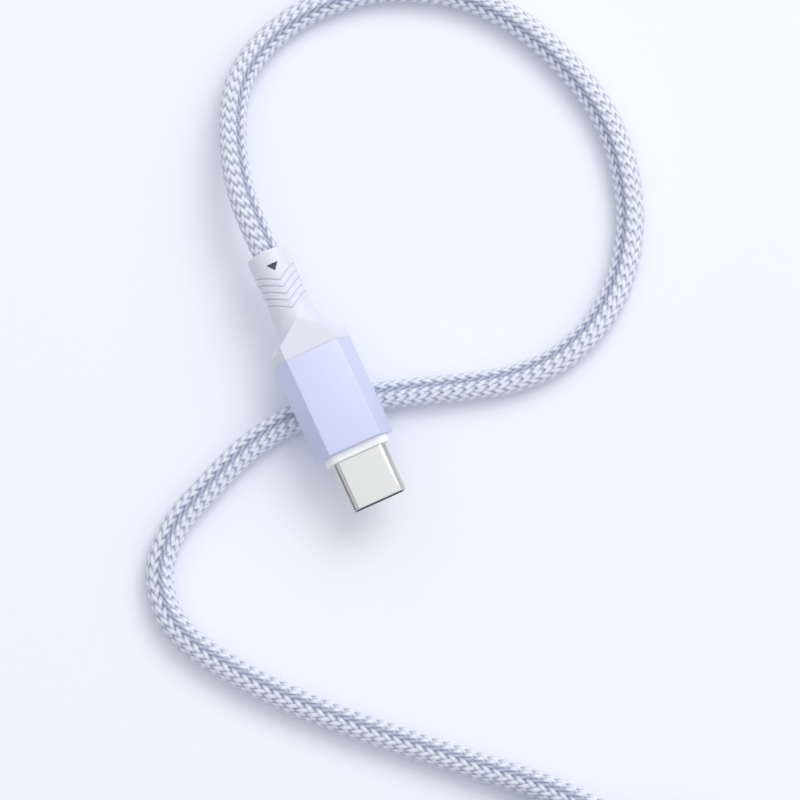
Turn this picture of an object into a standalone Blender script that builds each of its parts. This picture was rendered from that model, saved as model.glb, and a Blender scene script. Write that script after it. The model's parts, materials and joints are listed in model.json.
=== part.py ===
"""Braided USB-C charging cable, with one plug at the origin and the spare length put away in a coil.

Metres, +Z up. The origin is the centre of the near plug, whose mouth faces +X.
Both plugs are the same assembly, built by one function. A position along a plug is x, from its centre.
"""
import math

import bmesh
import bpy
from mathutils import Matrix, Vector

MM = 0.001

# Plug: lengths that show along its axis, from the mouth to the cord
SHELL_REACH = 7.2 * MM
COLLAR_REACH = 1.15 * MM
SLEEVE_LENGTH = 15.0 * MM
BOOT_LENGTH = 15.8 * MM

# Clearances
FIT = 0.05 * MM
REST_GAP = 0.3 * MM

# Steel shell
SHELL_WIDTH = 8.25 * MM
SHELL_HEIGHT = 2.40 * MM
SHELL_WALL = 0.30 * MM
SHELL_LENGTH = 12.4 * MM
SHELL_EDGE = 0.08 * MM

# Contact housing and its tongue slot
HOUSING_SETBACK = 0.3 * MM
HOUSING_LENGTH = 9.4 * MM
SLOT_WIDTH = 6.9 * MM
SLOT_HEIGHT = 1.0 * MM

# Contacts, counted in pitches from the middle of the row
CONTACT_PITCH = 0.5 * MM
CONTACT_WIDTH = 0.25 * MM
CONTACT_THICKNESS = 0.15 * MM
CONTACT_SETBACK = 0.8 * MM
CONTACT_BOW = 0.06 * MM
CONTACT_TAIL = 1.5 * MM
UPPER_ROW = (-5.5, -2.5, -1.5, -0.5, 0.5, 2.5, 5.5)
LOWER_ROW = (-5.5, -2.5, 1.5, 2.5, 5.5)
WAFER_LENGTH = 2.4 * MM
WAFER_MARGIN = 0.02 * MM
WAFER_SPLIT = 0.08 * MM

# Latch arms
LATCH_SETBACK = 0.8 * MM
LATCH_HEIGHT = 0.44 * MM
LATCH_THICKNESS = 0.16 * MM
LATCH_SWING = 0.31 * MM
LATCH_HOOK = 0.26 * MM
LATCH_HOOK_LENGTH = 0.9 * MM
LATCH_ROOT_LENGTH = 2.0 * MM

# Ground springs in the housing's outer recesses
SPRING_SETBACK = 0.7 * MM
SPRING_LENGTH = 3.4 * MM
SPRING_WIDTH = 4.8 * MM
SPRING_THICKNESS = 0.12 * MM

# Circuit board, shield cans and wires
CARD_LENGTH = 5.6 * MM
CARD_WIDTH = 6.6 * MM
CARD_THICKNESS = 0.5 * MM
CAN_LENGTH = 6.6 * MM
CAN_OVERLAP = 1.2 * MM
CAN_WALL = 0.2 * MM
WIRE_DIAMETER = 0.7 * MM
WIRE_SOLDERED = 1.6 * MM
WIRE_RING = 0.95 * MM
WIRE_PITCH = 2.0 * MM
WIRE_RUN = 2.6 * MM

# Cable core, ferrule and soft inner mould
CORE_DIAMETER = 3.4 * MM
FERRULE_SETBACK = 0.4 * MM
FERRULE_LENGTH = 2.8 * MM
FERRULE_WALL = 0.22 * MM

# Collar and hexagonal sleeve
COLLAR_WIDTH = 9.8 * MM
COLLAR_HEIGHT = 4.1 * MM
COLLAR_DEPTH = 1.5 * MM
SLEEVE_WIDTH = 11.9 * MM
SLEEVE_HEIGHT = 6.2 * MM
SLEEVE_FLAT = 7.9 * MM
SLEEVE_WALL = 0.5 * MM
SLEEVE_FRONT_WALL = 0.8 * MM
SLEEVE_BEVEL = 0.15 * MM

# Strain relief: shoulder, gable facet, flared neck, grooves and arrow
SHOULDER_LENGTH = 1.6 * MM
SHOULDER_LEDGE = 0.1 * MM
GABLE_CORNER = 2.1 * MM
GABLE_APEX = 5.1 * MM
GABLE_STEP = 0.02 * MM
FLARE_LENGTH = 1.9 * MM
NECK_WIDTH = 5.85 * MM
NECK_HEIGHT = 5.8 * MM
RIM_SWELL = 0.35 * MM
RIM_ROUND = 0.25 * MM
SPIGOT_LENGTH = 1.2 * MM
GROOVE_COUNT = 5
GROOVE_FIRST = 7.2 * MM
GROOVE_PITCH = 1.09 * MM
GROOVE_WIDTH = 0.36 * MM
GROOVE_DEPTH = 0.2 * MM
GROOVE_SWEEP = 0.40
ARROW_FROM_RIM = 1.75 * MM
ARROW_LENGTH = 1.1 * MM
ARROW_WIDTH = 1.75 * MM
ARROW_DEPTH = 0.2 * MM

# Cord
CORD_DIAMETER = 4.2 * MM
CORD_SEAT = 8.0 * MM
CORD_CLEARANCE = 0.2 * MM
CORD_STEP = 2.0 * CORD_DIAMETER
EXIT_STRAIGHT = 4.0 * MM
DROP_LENGTH = 36.0 * MM
COIL_LEAD_IN = 16.0 * MM

# Plan of the cord in millimetres, from near the plug to near the coil
ROUTE = (
    (-27.5, 0.2), (-33.5, 1.3), (-39.6, 3.5), (-44.6, 6.4), (-48.0, 10.2), (-50.3, 15.0),
    (-51.4, 21.0), (-50.8, 29.0), (-48.0, 36.5), (-43.2, 43.2), (-36.4, 48.4), (-28.0, 51.9),
    (-19.0, 53.6), (-10.5, 52.8), (-2.5, 49.9), (4.3, 44.9), (8.6, 39.0), (10.8, 32.0),
    (10.6, 24.8), (8.6, 17.6), (6.0, 10.0), (3.8, 2.0), (2.9, -6.0), (4.0, -13.5),
    (6.7, -20.8), (9.8, -27.4), (14.4, -32.1), (20.2, -33.8), (25.6, -32.7), (31.0, -29.6),
    (37.0, -25.1), (43.9, -18.8), (51.3, -11.1), (58.4, -3.4), (66.0, 4.9), (73.0, 10.8),
)

# Coil, in its own frame: it starts at +X and winds clockwise
COIL_CENTRE = (100.2 * MM, -1.9 * MM)
COIL_HEADING = math.radians(129.4)
COIL_OUTER_RADIUS = 26.9 * MM
COIL_TURNS = 5
COIL_GAP = 0.5 * MM
CLIMB_TURNS = 0.5
LOOP_POINTS = 24
TIE_WIDTH = 8.0 * MM
TIE_THICKNESS = 0.8 * MM

# Plan of the tail in millimetres, in the coil's frame, and the far plug that it ends in
TAIL_ROUTE = (
    (25.6, -13.8), (22.4, -18.6), (17.6, -22.0), (12.0, -23.6),
    (6.2, -23.2), (1.0, -20.9), (-3.2, -17.3), (-6.3, -13.4),
)
TAIL_RISE = 28.0 * MM
FAR_RIM = (-8.6 * MM, -9.7 * MM)
FAR_HEADING = math.radians(120.0)

# Facets of the round shapes
ARC_STEPS = 10
CIRCLE_STEPS = 16
NECK_STEPS = 24
FLARE_RINGS = 6

# Places along a plug that follow from its lengths
PLUG_LENGTH = SHELL_REACH + COLLAR_REACH + SLEEVE_LENGTH + BOOT_LENGTH
MOUTH_X = PLUG_LENGTH / 2
COLLAR_X = MOUTH_X - SHELL_REACH
SLEEVE_FRONT_X = COLLAR_X - COLLAR_REACH
SLEEVE_REAR_X = SLEEVE_FRONT_X - SLEEVE_LENGTH
RIM_X = SLEEVE_REAR_X - BOOT_LENGTH
SHELL_REAR_X = MOUTH_X - SHELL_LENGTH
HOUSING_FRONT_X = MOUTH_X - HOUSING_SETBACK
HOUSING_REAR_X = HOUSING_FRONT_X - HOUSING_LENGTH
CARD_FRONT_X = HOUSING_REAR_X - REST_GAP
CARD_REAR_X = CARD_FRONT_X - CARD_LENGTH
CAN_FRONT_X = SHELL_REAR_X + CAN_OVERLAP
CAN_REAR_X = CAN_FRONT_X - CAN_LENGTH
CORE_FRONT_X = CARD_REAR_X - WIRE_RUN - REST_GAP
COLLAR_REAR_X = SLEEVE_FRONT_X - COLLAR_DEPTH
MOULD_FRONT_X = COLLAR_REAR_X - FIT
MOULD_REAR_X = SLEEVE_REAR_X + SPIGOT_LENGTH + FIT
CORD_END_X = RIM_X + CORD_SEAT
CORE_REAR_X = CORD_END_X + REST_GAP

CORD_RADIUS = CORD_DIAMETER / 2
FLOOR_Z = -(SLEEVE_HEIGHT / 2 + REST_GAP + CORD_DIAMETER)
COIL_PITCH = CORD_DIAMETER + COIL_GAP
COIL_TOP = COIL_PITCH + CORD_DIAMETER


def clear_scene():
    """Remove whatever the open file holds."""
    for item in list(bpy.data.objects):
        bpy.data.objects.remove(item, do_unlink=True)


def make_material(name, colour, roughness, metallic=0.0):
    """A plain Principled material."""
    material = bpy.data.materials.new(name)
    material.use_nodes = True
    shader = material.node_tree.nodes["Principled BSDF"]
    shader.inputs["Base Color"].default_value = (*colour, 1.0)
    shader.inputs["Roughness"].default_value = roughness
    shader.inputs["Metallic"].default_value = metallic
    return material


def make_materials():
    """One material for each kind of surface on the cable."""
    return {
        "steel": make_material("steel", (0.76, 0.76, 0.76), 0.28, 1.0),
        "spring_steel": make_material("spring_steel", (0.62, 0.62, 0.63), 0.35, 1.0),
        "contact_gold": make_material("contact_gold", (0.83, 0.62, 0.27), 0.3, 1.0),
        "black_plastic": make_material("black_plastic", (0.03, 0.03, 0.032), 0.5),
        "green_board": make_material("green_board", (0.03, 0.19, 0.08), 0.45),
        "copper": make_material("copper", (0.72, 0.42, 0.29), 0.35, 1.0),
        "red_sheath": make_material("red_sheath", (0.55, 0.03, 0.03), 0.5),
        "black_sheath": make_material("black_sheath", (0.02, 0.02, 0.02), 0.5),
        "blue_sheath": make_material("blue_sheath", (0.04, 0.10, 0.45), 0.5),
        "green_sheath": make_material("green_sheath", (0.03, 0.32, 0.08), 0.5),
        "white_sheath": make_material("white_sheath", (0.82, 0.82, 0.82), 0.5),
        "grey_core": make_material("grey_core", (0.55, 0.56, 0.60), 0.6),
        "milky_mould": make_material("milky_mould", (0.78, 0.79, 0.80), 0.5),
        "white_plastic": make_material("white_plastic", (0.80, 0.82, 0.88), 0.42),
        "lavender_metal": make_material("lavender_metal", (0.62, 0.66, 0.86), 0.38, 0.85),
        "braid": make_material("braid", (0.72, 0.75, 0.84), 0.8),
        "strap": make_material("strap", (0.74, 0.76, 0.83), 0.9),
    }


def add_object(name, data, material=None, parent=None):
    """Put a mesh or curve into the scene, or an empty if there is no data."""
    thing = bpy.data.objects.new(name, data)
    bpy.context.scene.collection.objects.link(thing)
    thing.parent = parent
    if material:
        data.materials.append(material)
    return thing


def add_solid(name, bm, material, parent, smooth_angle=0.5):
    """Turn a finished bmesh into an object, smooth where its facets meet at small angles."""
    mesh = bpy.data.meshes.new(name)
    bm.to_mesh(mesh)
    bm.free()
    mesh.shade_smooth()
    mesh.set_sharp_from_angle(angle=smooth_angle)
    return add_object(name, mesh, material, parent)


def add_operand(name, bm, parent):
    """A hidden body that is joined to a piece or cut out of it."""
    operand = add_solid(name, bm, None, parent)
    operand.hide_render = True
    operand.display_type = "WIRE"
    return operand


def combine(target, operand, operation):
    """Boolean modifier: UNION or DIFFERENCE."""
    modifier = target.modifiers.new(operand.name, "BOOLEAN")
    modifier.operation = operation
    modifier.solver = "EXACT"
    modifier.object = operand


def skin(loops, closed=False):
    """Skin rings of equally many points into one closed body, capped or joined end to end."""
    bm = bmesh.new()
    rings = [[bm.verts.new(point) for point in loop] for loop in loops]
    pairs = list(zip(rings, rings[1:]))
    if closed:
        pairs.append((rings[-1], rings[0]))
    else:
        bm.faces.new(rings[0])
        bm.faces.new(rings[-1])
    for near, far in pairs:
        for i in range(len(near)):
            j = (i + 1) % len(near)
            bm.faces.new((near[i], near[j], far[j], far[i]))
    bmesh.ops.recalc_face_normals(bm, faces=bm.faces)
    return bm


def at_x(outline, x):
    """A cross-section outline of (y, z) points, placed at x."""
    return [(x, y, z) for y, z in outline]


def prism_x(outline, start, end):
    """An outline of (y, z) points extruded along the plug."""
    return skin([at_x(outline, start), at_x(outline, end)])


def tube_x(outer, inner, start, end):
    """A tube along the plug between two outlines of equally many points."""
    return skin(
        [at_x(outer, start), at_x(outer, end), at_x(inner, end), at_x(inner, start)], closed=True
    )


def prism_z(outline, low, high):
    """A plan outline of (x, y) points extruded upwards."""
    return skin([[(x, y, low) for x, y in outline], [(x, y, high) for x, y in outline]])


def box(start, end, width, low, high):
    """A box centred on the plug's middle plane."""
    half = width / 2
    return prism_z([(start, -half), (start, half), (end, half), (end, -half)], low, high)


def circle(radius):
    """A round outline."""
    turns = [2 * math.pi * i / CIRCLE_STEPS for i in range(CIRCLE_STEPS)]
    return [(radius * math.cos(turn), radius * math.sin(turn)) for turn in turns]


def stadium(width, height):
    """An outline with two straight sides and two half-round ends."""
    radius = height / 2
    reach = width / 2 - radius
    outline = []
    for side in (1, -1):
        for i in range(ARC_STEPS + 1):
            turn = math.pi * (i / ARC_STEPS - 0.5)
            y = side * (reach + radius * math.cos(turn))
            outline.append((y, side * radius * math.sin(turn)))
    return outline


def hexagon(inset=0.0):
    """The sleeve's outline, with every face moved in by the inset."""
    half_height = SLEEVE_HEIGHT / 2
    run = (SLEEVE_WIDTH - SLEEVE_FLAT) / 2
    slant = math.hypot(run, half_height)
    side = SLEEVE_WIDTH / 2 - inset * slant / half_height
    top = half_height - inset
    flat = side - run * top / half_height
    return [(flat, top), (side, 0.0), (flat, -top), (-flat, -top), (-side, 0.0), (-flat, top)]


def smoothstep(value):
    """Ease from 0 to 1 as the value goes from 0 to 1."""
    value = min(1.0, max(0.0, value))
    return value * value * (3 - 2 * value)


def add_shell(prefix, parent, materials):
    """Drawn steel shell with a softened mouth."""
    outer = stadium(SHELL_WIDTH, SHELL_HEIGHT)
    mouth = stadium(SHELL_WIDTH - 2 * SHELL_EDGE, SHELL_HEIGHT - 2 * SHELL_EDGE)
    inner = stadium(SHELL_WIDTH - 2 * SHELL_WALL, SHELL_HEIGHT - 2 * SHELL_WALL)
    loops = [
        at_x(mouth, MOUTH_X),
        at_x(outer, MOUTH_X - SHELL_EDGE),
        at_x(outer, SHELL_REAR_X),
        at_x(inner, SHELL_REAR_X),
        at_x(inner, MOUTH_X),
    ]
    add_solid(prefix + "plug_shell", skin(loops, closed=True), materials["steel"], parent)


def add_housing(prefix, parent, materials):
    """Plastic insulator inside the shell, with the tongue slot and the spring recesses."""
    margin = 2 * (SHELL_WALL + FIT)
    outline = stadium(SHELL_WIDTH - margin, SHELL_HEIGHT - margin)
    body = prism_x(outline, HOUSING_FRONT_X, HOUSING_REAR_X)
    housing = add_solid(prefix + "contact_housing", body, materials["black_plastic"], parent)
    half_slot = SLOT_HEIGHT / 2
    slot = box(MOUTH_X, HOUSING_REAR_X - FIT, SLOT_WIDTH, -half_slot, half_slot)
    combine(housing, add_operand(prefix + "tongue_slot", slot, parent), "DIFFERENCE")
    front = HOUSING_FRONT_X - SPRING_SETBACK
    roof = SHELL_HEIGHT / 2
    for side, label in ((1, "upper_"), (-1, "lower_")):
        floor = roof - SHELL_WALL - 2 * FIT - SPRING_THICKNESS - FIT
        low, high = sorted((side * floor, side * roof))
        recess = box(front + FIT, front - SPRING_LENGTH - FIT, SPRING_WIDTH + 2 * FIT, low, high)
        operand = add_operand(prefix + label + "spring_recess", recess, parent)
        combine(housing, operand, "DIFFERENCE")


def add_ground_springs(prefix, parent, materials):
    """Thin stamped plates between the housing and the shell."""
    front = HOUSING_FRONT_X - SPRING_SETBACK
    top = SHELL_HEIGHT / 2 - SHELL_WALL - 2 * FIT
    for side, label in ((1, "upper_"), (-1, "lower_")):
        low, high = sorted((side * (top - SPRING_THICKNESS), side * top))
        plate = box(front, front - SPRING_LENGTH, SPRING_WIDTH, low, high)
        add_solid(prefix + label + "ground_spring", plate, materials["spring_steel"], parent)


def contact_beam(side, y):
    """One contact: a bowed tip, a straight beam in the slot and a tail on the circuit board."""
    inner = CARD_THICKNESS / 2 + FIT / 2
    outer = inner + CONTACT_THICKNESS
    front = HOUSING_FRONT_X - CONTACT_SETBACK
    profile = [
        (front, inner + CONTACT_THICKNESS / 2),
        (front - CONTACT_WIDTH * 2, inner - CONTACT_BOW),
        (front - CONTACT_WIDTH * 6, inner),
        (CARD_FRONT_X - CONTACT_TAIL, inner),
        (CARD_FRONT_X - CONTACT_TAIL, outer),
        (front - CONTACT_WIDTH * 6, outer),
        (front - CONTACT_WIDTH * 2, outer - CONTACT_BOW),
        (front, outer),
    ]
    half = CONTACT_WIDTH / 2
    return [[(x, y + shift, side * z) for x, z in profile] for shift in (-half, half)]


def add_wafer(prefix, label, side, row, parent, materials):
    """A row of contacts with the bar that is moulded round them."""
    rear = HOUSING_REAR_X + FIT
    width = 2 * max(abs(place) for place in row) * CONTACT_PITCH + CONTACT_WIDTH + 2 * WAFER_MARGIN
    low, high = sorted((side * WAFER_SPLIT / 2, side * (SLOT_HEIGHT / 2 - FIT)))
    bar = box(rear + WAFER_LENGTH, rear, width, low, high)
    wafer = add_solid(prefix + label + "_contact_wafer", bar, materials["contact_gold"], parent)
    beams = bmesh.new()
    for place in row:
        beam = skin(contact_beam(side, place * CONTACT_PITCH))
        piece = bpy.data.meshes.new("beam")
        beam.to_mesh(piece)
        beam.free()
        beams.from_mesh(piece)
        bpy.data.meshes.remove(piece)
    combine(wafer, add_operand(prefix + label + "_contacts", beams, parent), "UNION")


def latch_hinge(side):
    """Where a latch arm flexes, at the front of its root."""
    inner = SLOT_WIDTH / 2 - LATCH_SWING - LATCH_THICKNESS
    return Vector((HOUSING_REAR_X + LATCH_ROOT_LENGTH, side * (inner + LATCH_THICKNESS / 2), 0.0))


def add_latch(prefix, label, side, parent, materials):
    """Spring arm whose hook grips the socket's tongue. Its origin is on the axis it flexes about."""
    hinge = latch_hinge(side)
    inner = SLOT_WIDTH / 2 - LATCH_SWING - LATCH_THICKNESS
    outer = inner + LATCH_THICKNESS
    root_outer = SLOT_WIDTH / 2 - FIT
    root_inner = root_outer - 2 * LATCH_THICKNESS
    tip = HOUSING_FRONT_X - LATCH_SETBACK
    nose = LATCH_HOOK_LENGTH / 3
    outline = [
        (HOUSING_REAR_X + FIT, root_inner),
        (hinge.x, root_inner),
        (hinge.x + LATCH_THICKNESS, inner),
        (tip - LATCH_HOOK_LENGTH, inner),
        (tip - 2 * nose, inner - LATCH_HOOK),
        (tip - nose, inner - LATCH_HOOK),
        (tip, inner + LATCH_THICKNESS / 2),
        (tip, outer),
        (hinge.x + LATCH_THICKNESS, outer),
        (hinge.x, root_outer),
        (HOUSING_REAR_X + FIT, root_outer),
    ]
    local = [(x - hinge.x, side * y - hinge.y) for x, y in outline]
    body = prism_z(local, -LATCH_HEIGHT / 2, LATCH_HEIGHT / 2)
    latch = add_solid(prefix + label + "_latch", body, materials["spring_steel"], parent)
    latch.location = hinge


def add_card(prefix, parent, materials):
    """Circuit board that the contact tails and the wires are soldered to."""
    body = box(CARD_FRONT_X, CARD_REAR_X, CARD_WIDTH, -CARD_THICKNESS / 2, CARD_THICKNESS / 2)
    add_solid(prefix + "paddle_card", body, materials["green_board"], parent)


def can_outline(inset):
    """Half of the cans' section, from one side over the top to the other."""
    width = SHELL_WIDTH + 2 * (FIT + CAN_WALL - inset)
    height = SHELL_HEIGHT + 2 * (FIT + CAN_WALL - inset)
    half = [(y, z) for y, z in stadium(width, height) if z > FIT]
    half.sort(key=lambda point: math.atan2(point[1], point[0]))
    return [(width / 2, FIT / 2)] + half + [(-width / 2, FIT / 2)]


def add_cans(prefix, parent, materials):
    """Two stamped half cans that close round the shell's rear and the circuit board."""
    outline = can_outline(0.0) + can_outline(CAN_WALL)[::-1]
    for side, label in ((1, "upper_"), (-1, "lower_")):
        section = [(y, side * z) for y, z in outline]
        body = prism_x(section, CAN_FRONT_X, CAN_REAR_X)
        add_solid(prefix + label + "shield_can", body, materials["spring_steel"], parent)


def add_tube(name, points, diameter, resolution, material, parent):
    """A round tube with filled ends along a row of points."""
    curve = bpy.data.curves.new(name, "CURVE")
    curve.dimensions = "3D"
    curve.bevel_depth = diameter / 2
    curve.bevel_resolution = resolution
    curve.use_fill_caps = True
    curve.resolution_u = 1
    curve.render_resolution_u = 0
    spline = curve.splines.new("POLY")
    spline.points.add(len(points) - 1)
    for target, point in zip(spline.points, points):
        target.co = (*point, 1.0)
    return add_object(name, curve, material, parent)


def add_wires(prefix, parent, materials):
    """Five conductors from the circuit board to the end of the cable core."""
    lift = CARD_THICKNESS / 2 + WIRE_DIAMETER / 2 + FIT
    wires = (
        ("ground_wire", "black_sheath", -WIRE_PITCH, lift, 162),
        ("vbus_wire", "red_sheath", 0.0, lift, 90),
        ("cc_wire", "blue_sheath", WIRE_PITCH, lift, 18),
        ("data_plus_wire", "green_sheath", -WIRE_PITCH / 2, -lift, 234),
        ("data_minus_wire", "white_sheath", WIRE_PITCH / 2, -lift, 306),
    )
    soldered_x = CARD_REAR_X + WIRE_SOLDERED
    end_x = CORE_FRONT_X + REST_GAP
    for name, sheath, y, z, degrees in wires:
        turn = math.radians(degrees)
        start = Vector((CARD_REAR_X - WIRE_DIAMETER / 2, y, z))
        end = Vector((end_x + WIRE_DIAMETER / 2, WIRE_RING * math.cos(turn), WIRE_RING * math.sin(turn)))
        middle = [start.lerp(end, share) for share in (0.0, 0.3, 0.7, 1.0)]
        points = [(soldered_x, y, z), *middle, (end_x, end.y, end.z)]
        add_tube(prefix + name, points, WIRE_DIAMETER, 1, materials[sheath], parent)


def add_core(prefix, parent, materials):
    """End of the cable's inner core and the ferrule crimped on it."""
    radius = CORE_DIAMETER / 2
    core = prism_x(circle(radius), CORE_FRONT_X, CORE_REAR_X)
    add_solid(prefix + "core_end", core, materials["grey_core"], parent)
    inner = circle(radius + FIT)
    outer = circle(radius + FIT + FERRULE_WALL)
    front = CORE_FRONT_X - FERRULE_SETBACK
    ferrule = tube_x(outer, inner, front, front - FERRULE_LENGTH)
    add_solid(prefix + "crimp_ferrule", ferrule, materials["copper"], parent)


def add_mould(prefix, parent, materials):
    """Soft plastic that fills the sleeve round the cans, the wires and the ferrule."""
    body = prism_x(hexagon(SLEEVE_WALL + FIT), MOULD_FRONT_X, MOULD_REAR_X)
    mould = add_solid(prefix + "inner_mould", body, materials["milky_mould"], parent)
    margin = 2 * (2 * FIT + CAN_WALL)
    outline = stadium(SHELL_WIDTH + margin, SHELL_HEIGHT + margin)
    pocket = prism_x(outline, MOULD_FRONT_X + FIT, min(CAN_REAR_X, CORE_FRONT_X) - FIT)
    combine(mould, add_operand(prefix + "can_pocket", pocket, parent), "DIFFERENCE")
    channel = circle(CORE_DIAMETER / 2 + FERRULE_WALL + 2 * FIT)
    passage = prism_x(channel, CARD_REAR_X, MOULD_REAR_X - FIT)
    combine(mould, add_operand(prefix + "core_channel", passage, parent), "DIFFERENCE")


def add_collar(prefix, parent, materials):
    """White ring round the shell, standing out of the sleeve's front."""
    hole = stadium(SHELL_WIDTH + 2 * FIT, SHELL_HEIGHT + 2 * FIT)
    body = tube_x(stadium(COLLAR_WIDTH, COLLAR_HEIGHT), hole, COLLAR_X, COLLAR_REAR_X)
    add_solid(prefix + "collar", body, materials["white_plastic"], parent)


def add_sleeve(prefix, parent, materials):
    """Hexagonal metal sleeve with an open rear and an opening for the collar in its front wall."""
    body = prism_x(hexagon(), SLEEVE_FRONT_X, SLEEVE_REAR_X + FIT)
    sleeve = add_solid(prefix + "sleeve", body, materials["lavender_metal"], parent)
    bevel = sleeve.modifiers.new("soft_edges", "BEVEL")
    bevel.width = SLEEVE_BEVEL
    bevel.segments = 2
    bore = prism_x(hexagon(SLEEVE_WALL), SLEEVE_FRONT_X - SLEEVE_FRONT_WALL, SLEEVE_REAR_X - FIT)
    combine(sleeve, add_operand(prefix + "sleeve_bore", bore, parent), "DIFFERENCE")
    outline = stadium(COLLAR_WIDTH + 2 * FIT, COLLAR_HEIGHT + 2 * FIT)
    opening = prism_x(outline, SLEEVE_FRONT_X + FIT, SLEEVE_FRONT_X - SLEEVE_FRONT_WALL - FIT)
    combine(sleeve, add_operand(prefix + "collar_opening", opening, parent), "DIFFERENCE")


def neck_half_sizes(depth):
    """Half width, half height and section power of the neck at a depth behind the sleeve."""
    flare = math.exp(-max(0.0, depth - SHOULDER_LENGTH) / FLARE_LENGTH)
    swell = RIM_SWELL / 2 * smoothstep((depth - GABLE_APEX) / (BOOT_LENGTH - GABLE_APEX))
    neck = NECK_WIDTH / 2 + swell
    half_width = neck + (SLEEVE_WIDTH / 2 - SHOULDER_LEDGE - neck) * flare
    half_height = NECK_HEIGHT / 2 + swell / 2
    return half_width, half_height, 2.0 - 0.5 * flare


def neck_sweep(depth):
    """How far the rings are swept into chevrons: fully at the grooves, not at all at the ends."""
    first = GROOVE_FIRST - GROOVE_WIDTH
    last = GROOVE_FIRST + (GROOVE_COUNT - 1) * GROOVE_PITCH + GROOVE_WIDTH
    rise = smoothstep((depth - GABLE_APEX) / (first - GABLE_APEX))
    fall = smoothstep((depth - last) / (BOOT_LENGTH - 2 * RIM_ROUND - last))
    return GROOVE_SWEEP * rise * (1 - fall)


def neck_ring(depth, cut):
    """One ring of the neck, its surface cut in by a small depth."""
    sweep = neck_sweep(depth) * neck_half_sizes(depth)[0]
    ring = []
    for i in range(NECK_STEPS):
        turn = 2 * math.pi * i / NECK_STEPS
        across = math.cos(turn)
        upward = math.sin(turn)
        swept = depth + sweep * abs(across)
        half_width, half_height, power = neck_half_sizes(swept)
        y = math.copysign(abs(across) ** (2 / power), across) * (half_width - cut)
        z = math.copysign(abs(upward) ** (2 / power), upward) * (half_height - cut)
        ring.append((SLEEVE_REAR_X - swept, y, z))
    return ring


def neck_rings():
    """Rings from inside the shoulder to the rim, with a V cut at each groove."""
    rings = [neck_ring(SHOULDER_LENGTH * 0.8, 0.0)]
    for i in range(FLARE_RINGS + 1):
        share = (i / FLARE_RINGS) ** 1.6
        rings.append(neck_ring(SHOULDER_LENGTH + share * (GABLE_APEX - SHOULDER_LENGTH), 0.0))
    for i in range(GROOVE_COUNT):
        middle = GROOVE_FIRST + i * GROOVE_PITCH
        rings.append(neck_ring(middle - GROOVE_WIDTH / 2, 0.0))
        rings.append(neck_ring(middle, GROOVE_DEPTH))
        rings.append(neck_ring(middle + GROOVE_WIDTH / 2, 0.0))
    last = GROOVE_FIRST + (GROOVE_COUNT - 1) * GROOVE_PITCH + GROOVE_WIDTH / 2
    rings.append(neck_ring((last + BOOT_LENGTH - RIM_ROUND) / 2, 0.0))
    rings.append(neck_ring(BOOT_LENGTH - RIM_ROUND, 0.0))
    rings.append(neck_ring(BOOT_LENGTH, RIM_ROUND))
    return rings


def add_strain_relief(prefix, parent, materials):
    """White boot: hexagonal shoulder with a spigot in the sleeve, gable facets and a grooved neck."""
    boot = add_solid(prefix + "strain_relief", skin(neck_rings()), materials["white_plastic"], parent)
    spigot = hexagon(SLEEVE_WALL + FIT)
    shoulder = skin(
        [
            at_x(spigot, SLEEVE_REAR_X + SPIGOT_LENGTH),
            at_x(spigot, SLEEVE_REAR_X),
            at_x(hexagon(), SLEEVE_REAR_X),
            at_x(hexagon(), SLEEVE_REAR_X - SHOULDER_LENGTH),
        ]
    )
    combine(boot, add_operand(prefix + "shoulder", shoulder, parent), "UNION")
    half_flat = SLEEVE_FLAT / 2
    gable_plan = [
        (SLEEVE_REAR_X - SHOULDER_LENGTH / 2, half_flat),
        (SLEEVE_REAR_X - GABLE_CORNER, half_flat),
        (SLEEVE_REAR_X - GABLE_APEX, 0.0),
        (SLEEVE_REAR_X - GABLE_CORNER, -half_flat),
        (SLEEVE_REAR_X - SHOULDER_LENGTH / 2, -half_flat),
    ]
    half_height = SLEEVE_HEIGHT / 2 - GABLE_STEP
    gable = prism_z(gable_plan, -half_height, half_height)
    combine(boot, add_operand(prefix + "gable", gable, parent), "UNION")
    core_hole = circle(CORE_DIAMETER / 2 + FIT)
    cord_hole = circle(CORD_RADIUS + CORD_CLEARANCE)
    bore = skin(
        [
            at_x(core_hole, SLEEVE_REAR_X + SPIGOT_LENGTH + FIT),
            at_x(core_hole, CORE_REAR_X),
            at_x(cord_hole, CORE_REAR_X),
            at_x(cord_hole, RIM_X - FIT),
        ]
    )
    combine(boot, add_operand(prefix + "boot_bore", bore, parent), "DIFFERENCE")
    base_x = RIM_X + ARROW_FROM_RIM
    arrow_plan = [
        (base_x, ARROW_WIDTH / 2),
        (base_x + ARROW_LENGTH, 0.0),
        (base_x, -ARROW_WIDTH / 2),
    ]
    top = neck_half_sizes(BOOT_LENGTH - ARROW_FROM_RIM)[1]
    arrow = prism_z(arrow_plan, top - ARROW_DEPTH, top + ARROW_DEPTH)
    combine(boot, add_operand(prefix + "arrow_recess", arrow, parent), "DIFFERENCE")


def add_plug(prefix, parent, materials):
    """A whole plug, in its parent's frame."""
    add_shell(prefix, parent, materials)
    add_housing(prefix, parent, materials)
    add_ground_springs(prefix, parent, materials)
    add_wafer(prefix, "upper", 1, UPPER_ROW, parent, materials)
    add_wafer(prefix, "lower", -1, LOWER_ROW, parent, materials)
    add_latch(prefix, "left", 1, parent, materials)
    add_latch(prefix, "right", -1, parent, materials)
    add_card(prefix, parent, materials)
    add_cans(prefix, parent, materials)
    add_wires(prefix, parent, materials)
    add_core(prefix, parent, materials)
    add_mould(prefix, parent, materials)
    add_collar(prefix, parent, materials)
    add_sleeve(prefix, parent, materials)
    add_strain_relief(prefix, parent, materials)


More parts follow.
